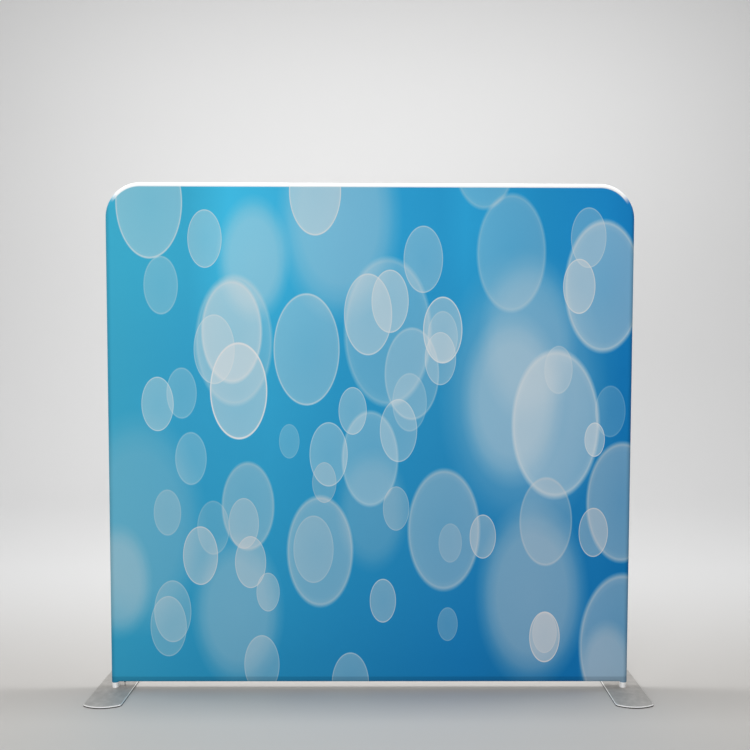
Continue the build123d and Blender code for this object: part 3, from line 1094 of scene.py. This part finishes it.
# Black enamel over castings: near black and satin, with the fine ripple of a sprayed coat.
zip_enamel, tree, shader = new_finish("black_enamelled_zinc", Roughness=0.35)
place = add(tree, "ShaderNodeTexCoord").outputs["Object"]
ripple = add(tree, "ShaderNodeTexNoise", {"Vector": place, "Scale": 1 / 0.0012, "Detail": 3.0})
tree.links.new(
    add(
        tree,
        "ShaderNodeValToRGB",
        {"Fac": ripple.outputs["Fac"]},
        stops=[(0.35, "#141414"), (0.65, "#222223")],
    ).outputs["Color"],
    shader.inputs["Base Color"],
)
tree.links.new(
    add(
        tree, "ShaderNodeMapRange", {"Value": ripple.outputs["Fac"], "To Min": 0.25, "To Max": 0.45}
    ).outputs["Result"],
    shader.inputs["Roughness"],
)
tree.links.new(
    add(
        tree, "ShaderNodeBump", {"Height": ripple.outputs["Fac"], "Strength": 0.1, "Distance": 1e-4}
    ).outputs["Normal"],
    shader.inputs["Normal"],
)
coat(["zip_slider", "zip_pull", "zip_stops"], zip_enamel)

# ---- Studio ----
# A pale floor that curves up into a pale backdrop, a soft strip overhead, a softbox in front and
# another that lights the backdrop.
# The floor is painted a warm grey in front of the wall, growing paler towards the backdrop: painted
# light and shade, darker in front and lighter behind. The warm tint offsets the blue light thrown
# from the print.
floor_paint, tree, shader = new_finish("studio_floor", Roughness=0.7)
place = add(tree, "ShaderNodeTexCoord").outputs["Object"]
depth = add(
    tree,
    "ShaderNodeMapRange",
    {
        "Value": add(tree, "ShaderNodeSeparateXYZ", {"Vector": place}).outputs["Y"],
        "From Min": -0.6,
        "From Max": 2.0,
    },
    interpolation_type="SMOOTHSTEP",
)
tree.links.new(
    add(
        tree,
        "ShaderNodeValToRGB",
        {"Fac": depth.outputs["Result"]},
        stops=[(0.0, "#c0bdb9"), (1.0, "#ececec")],
    ).outputs["Color"],
    shader.inputs["Base Color"],
)
studio_width, studio_depth, studio_height = 24, 14, 8
sweep_radius = 3
back_line = studio_depth / 2 - 0.1
bpy.ops.object.select_all(action="DESELECT")
bpy.ops.mesh.primitive_plane_add(size=1, location=(0, 0, 0))
studio = bpy.context.object
studio.name = studio.data.name = "studio_sweep"
studio.scale = (studio_width, studio_depth, 1)
bpy.ops.object.transform_apply()
bpy.ops.object.mode_set(mode="EDIT")
pick("EDGE", lambda p: p.y > back_line)
bpy.ops.mesh.extrude_region_move(TRANSFORM_OT_translate={"value": (0, 0, studio_height)})
pick("EDGE", lambda p: p.y > back_line and abs(p.z) < 0.01)
bpy.ops.mesh.bevel(offset=sweep_radius, segments=16, affect="EDGES")
bpy.ops.object.mode_set(mode="OBJECT")
bpy.ops.object.shade_smooth()
studio.data.materials.append(floor_paint)
studio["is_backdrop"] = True

world = bpy.data.worlds.new("studio_air")
world.use_nodes = True
world.node_tree.nodes["Background"].inputs["Color"].default_value = linear("#ffffff")
world.node_tree.nodes["Background"].inputs["Strength"].default_value = 0.38
bpy.context.scene.world = world

for name, place, size, power, aim in (
    ("overhead_strip", (0, 0.14, 4.6), (5.0, 0.3), 120, (0, 0.14, 0)),
    ("front_softbox", (-2.0, -7.0, 1.65), (5, 3.2), 310, (0, 0, 1.0)),
    ("backdrop_softbox", (0, 3.0, 5.5), (10, 1), 130, (0, 7, 2.0)),
):
    lamp = bpy.data.lights.new(name, "AREA")
    lamp.shape = "RECTANGLE"
    lamp.size, lamp.size_y = size
    lamp.energy = power
    light = bpy.data.objects.new(name, lamp)
    light.location = place
    light.rotation_euler = (Vector(aim) - Vector(place)).to_track_quat("-Z", "Y").to_euler()
    bpy.context.scene.collection.objects.link(light)

camera = bpy.data.objects.new("camera", bpy.data.cameras.new("camera"))
camera.data.sensor_width = 36
camera.data.lens = 36
camera.data.shift_x = -0.0185
camera.location = (0.0639, -3.4367, 1.6147)
camera.rotation_euler = (radians(87.490), radians(-0.145), radians(-0.350))
bpy.context.scene.collection.objects.link(camera)
bpy.context.scene.camera = camera
bpy.context.scene.view_settings.view_transform = "Standard"

low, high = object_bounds()
